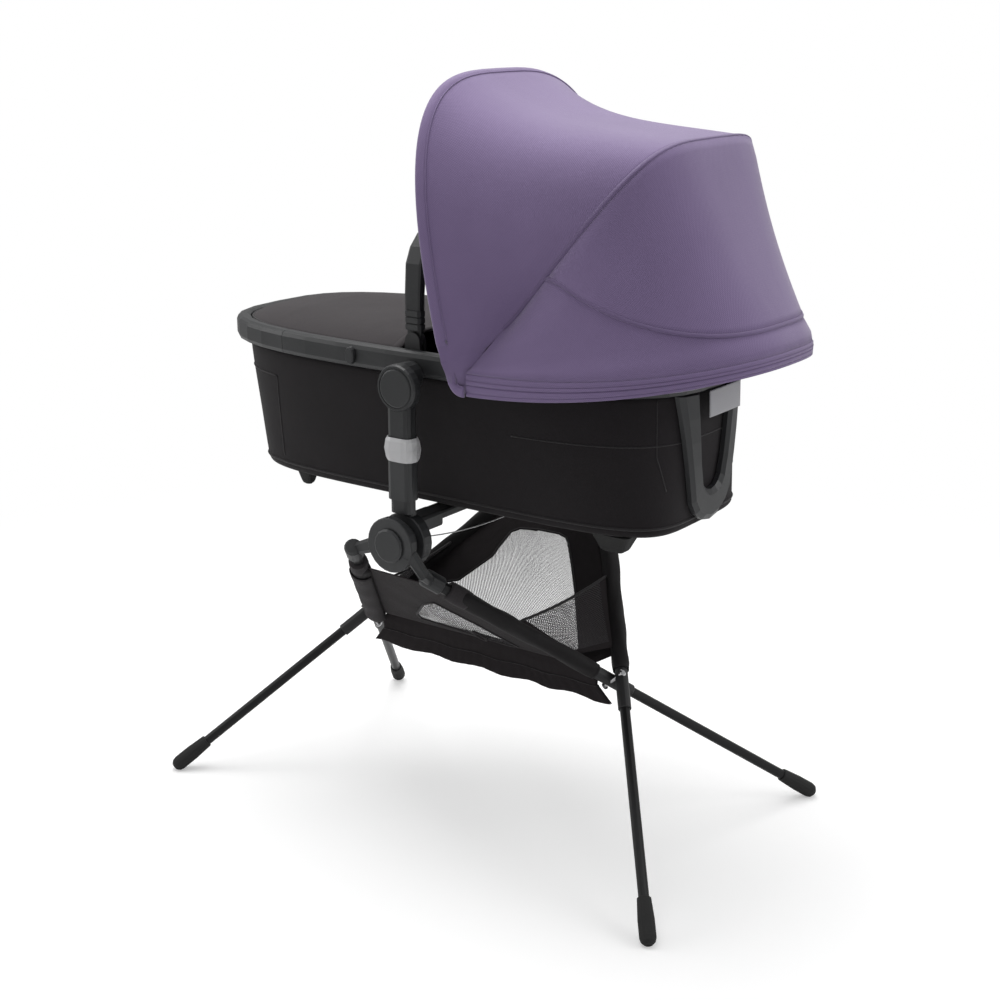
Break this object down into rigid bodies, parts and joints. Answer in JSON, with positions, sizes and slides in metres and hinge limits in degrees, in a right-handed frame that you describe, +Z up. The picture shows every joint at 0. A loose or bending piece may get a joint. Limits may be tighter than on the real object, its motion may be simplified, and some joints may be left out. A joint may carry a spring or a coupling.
{
  "type": "carrycot stand",
  "caption": "Carrycot with a folding canopy, carry handle and apron, held by two posts on a folding cross-legged stand with a fabric basket.",
  "frame": {"origin": "on the floor, under the middle of the part's box", "axes": "+X towards the head end with the canopy, +Y to the far side, +Z up; the legs' hinge axis runs along Y"},
  "size_m": [1.0024, 0.5744, 1.172],
  "materials": {
    "plastic": "fine-grained charcoal moulding",
    "dark_plastic": "black moulding",
    "leg_tube": "black anodised, satin",
    "rubber": "black, matt",
    "steel": "bright",
    "collar": "pale grey moulding",
    "black_fabric": "black woven cloth",
    "brown_fabric": "dark brown woven cloth",
    "violet_fabric": "violet melange cloth",
    "grey_fabric": "grey webbing",
    "mattress": "pale padded cloth",
    "bow": "black springy strip"
  },
  "bodies": {
    "stand_core": {"hub_core_near": "plastic", "hub_core_far": "plastic", "hub_pin_near": "plastic", "hub_pin_far": "plastic", "cross_beam": "dark_plastic", "release_cable": "steel"},
    "right_legs": {"right_bracket_near": "plastic", "right_bracket_far": "plastic", "upper_tube_right_near": "leg_tube", "coupling_right_near": "dark_plastic", "lower_tube_right_near": "leg_tube", "foot_cap_right_near": "rubber", "upper_tube_right_far": "leg_tube", "coupling_right_far": "dark_plastic", "lower_tube_right_far": "leg_tube", "foot_cap_right_far": "rubber", "crossing_bolt_right": "steel", "basket_right_end": "black_fabric", "basket_near": "brown_fabric", "basket_far": "brown_fabric"},
    "left_legs": {"left_bracket_near": "plastic", "left_bracket_far": "plastic", "upper_tube_left_near": "leg_tube", "coupling_left_near": "dark_plastic", "lower_tube_left_near": "leg_tube", "foot_cap_left_near": "rubber", "upper_tube_left_far": "leg_tube", "coupling_left_far": "dark_plastic", "lower_tube_left_far": "leg_tube", "foot_cap_left_far": "rubber", "crossing_bolt_left": "steel", "basket_left_end": "black_fabric"},
    "collar_near": {"release_collar_near": "collar"},
    "collar_far": {"release_collar_far": "collar"},
    "carrycot": {"rim_main": "plastic", "rim_foot_section": "plastic", "rim_adapter_near": "plastic", "rim_adapter_far": "plastic", "body_tub": "black_fabric", "base_board": "dark_plastic", "mattress": "mattress", "apron": "brown_fabric", "head_bar": "plastic", "head_strap": "grey_fabric", "handle_hinge_near": "dark_plastic", "handle_hinge_far": "dark_plastic", "canopy_pivot_near": "dark_plastic", "canopy_pivot_far": "dark_plastic", "base_foot_foot_end_near": "rubber", "base_foot_foot_end_far": "rubber", "base_foot_head_end_near": "rubber", "base_foot_head_end_far": "rubber", "canopy_hem": "violet_fabric"},
    "rim_button_near": {"rim_button_near": "plastic"},
    "rim_button_far": {"rim_button_far": "plastic"},
    "carry_handle": {"carry_handle": "plastic"},
    "canopy_rear": {"rear_bow": "bow", "canopy_back_panel": "violet_fabric"},
    "canopy_front": {"front_bow": "bow", "canopy_front_panel": "violet_fabric"}
  },
  "joints": [
    {"name": "right_fold", "type": "hinge", "parent": "stand_core", "child": "right_legs", "pos_m": [-0.0058, 0, 0.5], "axis": [0, 1, 0], "range_deg": [0, 34]},
    {"name": "left_fold", "type": "hinge", "parent": "right_legs", "child": "left_legs", "pos_m": [-0.0058, 0, 0.5], "axis": [0, 1, 0], "range_deg": [-71, 0], "deforming": ["basket_near", "basket_far"]},
    {"name": "carrycot_lift", "type": "slide", "parent": "stand_core", "child": "carrycot", "axis": [0, 0, 1], "range_m": [0, 0.12]},
    {"name": "collar_near_lift", "type": "slide", "parent": "stand_core", "child": "collar_near", "axis": [0, 0, 1], "range_m": [0, 0.008], "stiffness_N_per_m": 250},
    {"name": "collar_far_lift", "type": "slide", "parent": "stand_core", "child": "collar_far", "axis": [0, 0, 1], "range_m": [0, 0.008], "stiffness_N_per_m": 250},
    {"name": "button_near_press", "type": "slide", "parent": "carrycot", "child": "rim_button_near", "axis": [0, 1, 0], "range_m": [0, 0.003], "stiffness_N_per_m": 400},
    {"name": "button_far_press", "type": "slide", "parent": "carrycot", "child": "rim_button_far", "axis": [0, -1, 0], "range_m": [0, 0.003], "stiffness_N_per_m": 400},
    {"name": "handle_fold", "type": "hinge", "parent": "carrycot", "child": "carry_handle", "pos_m": [-0.0238, 0, 0.79], "axis": [0, 1, 0], "range_deg": [-65, 0]},
    {"name": "rear_bow_fold", "type": "hinge", "parent": "carrycot", "child": "canopy_rear", "pos_m": [0.0942, 0, 0.755], "axis": [0, 1, 0], "range_deg": [0, 15], "deforming": ["canopy_back_panel"]},
    {"name": "front_bow_fold", "type": "hinge", "parent": "canopy_rear", "child": "canopy_front", "pos_m": [0.0942, 0, 0.755], "axis": [0, 1, 0], "range_deg": [0, 30], "deforming": ["canopy_front_panel"]}
  ],
  "couplings": [
    {"joint": "left_fold", "follows": "right_fold", "ratio": -2.0882},
    {"joint": "rear_bow_fold", "follows": "front_bow_fold", "ratio": 0.5}
  ]
}
